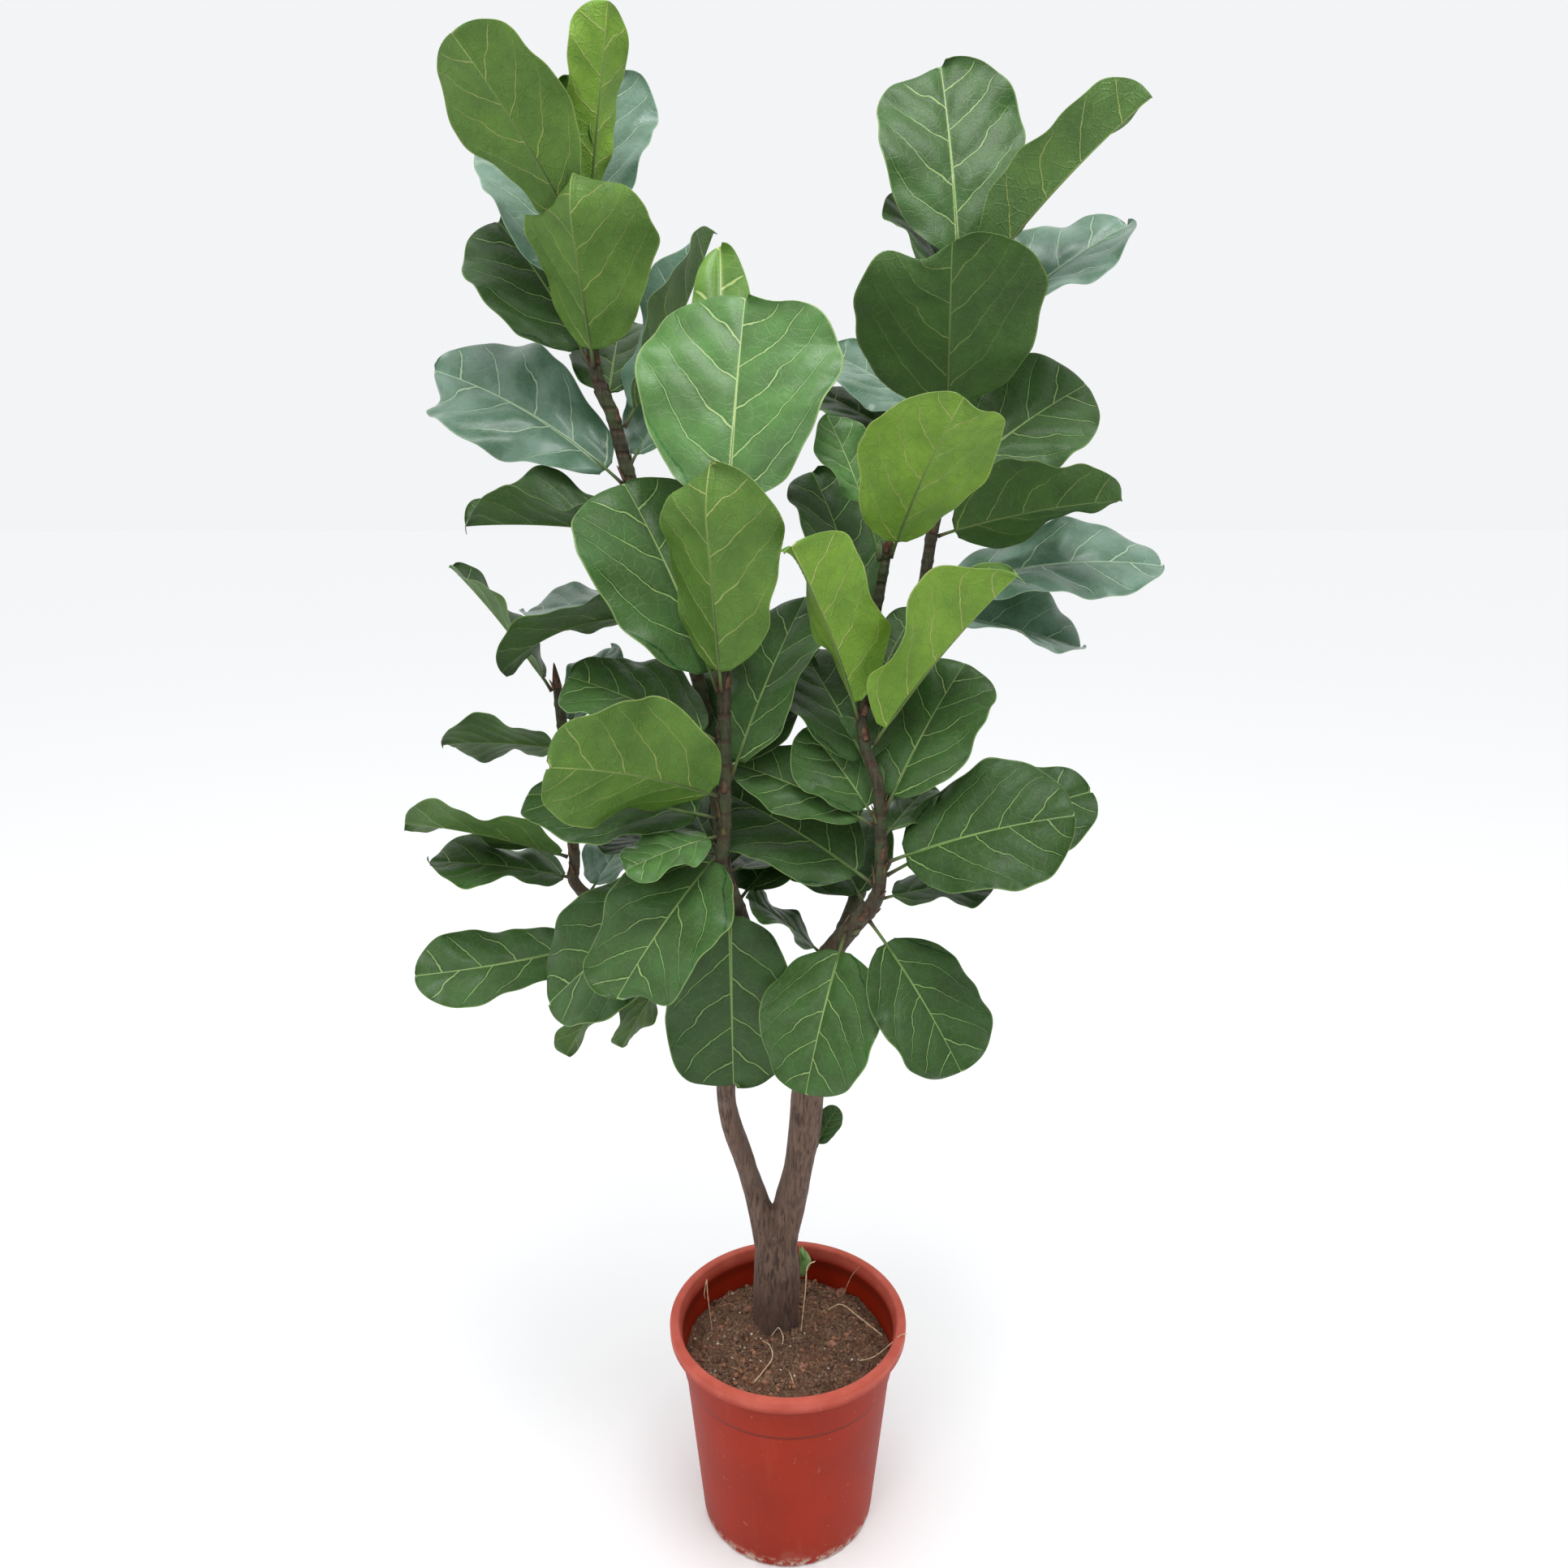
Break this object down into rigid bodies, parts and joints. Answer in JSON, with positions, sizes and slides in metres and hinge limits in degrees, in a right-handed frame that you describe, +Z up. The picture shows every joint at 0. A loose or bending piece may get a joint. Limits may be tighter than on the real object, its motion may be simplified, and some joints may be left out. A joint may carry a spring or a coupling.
{
  "type": "potted fiddle leaf fig",
  "caption": "Tall potted houseplant with a forked woody trunk and large glossy fiddle-shaped leaves in a plain round tapered plastic nursery pot.",
  "frame": {"origin": "centre of the flat underside of the pot", "axes": "+Z up along the trunk, +X to the plant's right, -Y to its front"},
  "size_m": [0.9962, 0.5289, 2.0087],
  "materials": {
    "pot": "brick red moulded plastic with a soft sheen, paler on the lip, slightly scuffed at the foot",
    "soil": "crumbly dark brown coir and bark potting mix with pale specks",
    "bark": "grey-brown fissured bark, smoother and greener on the young shoots",
    "leaf": "leathery green blade with pale veins, glossy above and matte olive below"
  },
  "bodies": {
    "root": {"centre_leaf_1": "leaf", "centre_leaf_10": "leaf", "centre_leaf_11": "leaf", "centre_leaf_12": "leaf", "centre_leaf_13": "leaf", "centre_leaf_14": "leaf", "centre_leaf_2": "leaf", "centre_leaf_3": "leaf", "centre_leaf_4": "leaf", "centre_leaf_5": "leaf", "centre_leaf_6": "leaf", "centre_leaf_7": "leaf", "centre_leaf_8": "leaf", "centre_leaf_9": "leaf", "high_left_leaf_1": "leaf", "high_left_leaf_10": "leaf", "high_left_leaf_11": "leaf", "high_left_leaf_12": "leaf", "high_left_leaf_2": "leaf", "high_left_leaf_3": "leaf", "high_left_leaf_4": "leaf", "high_left_leaf_5": "leaf", "high_left_leaf_6": "leaf", "high_left_leaf_7": "leaf", "high_left_leaf_8": "leaf", "high_left_leaf_9": "leaf", "high_right_leaf_1": "leaf", "high_right_leaf_10": "leaf", "high_right_leaf_11": "leaf", "high_right_leaf_2": "leaf", "high_right_leaf_3": "leaf", "high_right_leaf_4": "leaf", "high_right_leaf_5": "leaf", "high_right_leaf_6": "leaf", "high_right_leaf_7": "leaf", "high_right_leaf_8": "leaf", "high_right_leaf_9": "leaf", "low_left_leaf_1": "leaf", "low_left_leaf_2": "leaf", "low_left_leaf_3": "leaf", "low_left_leaf_4": "leaf", "low_left_leaf_5": "leaf", "pot": "pot", "right_leaf_1": "leaf", "right_leaf_10": "leaf", "right_leaf_11": "leaf", "right_leaf_12": "leaf", "right_leaf_13": "leaf", "right_leaf_14": "leaf", "right_leaf_15": "leaf", "right_leaf_2": "leaf", "right_leaf_3": "leaf", "right_leaf_4": "leaf", "right_leaf_5": "leaf", "right_leaf_6": "leaf", "right_leaf_7": "leaf", "right_leaf_8": "leaf", "right_leaf_9": "leaf", "soil": "soil", "trunk_and_branches": "bark"}
  },
  "joints": []
}
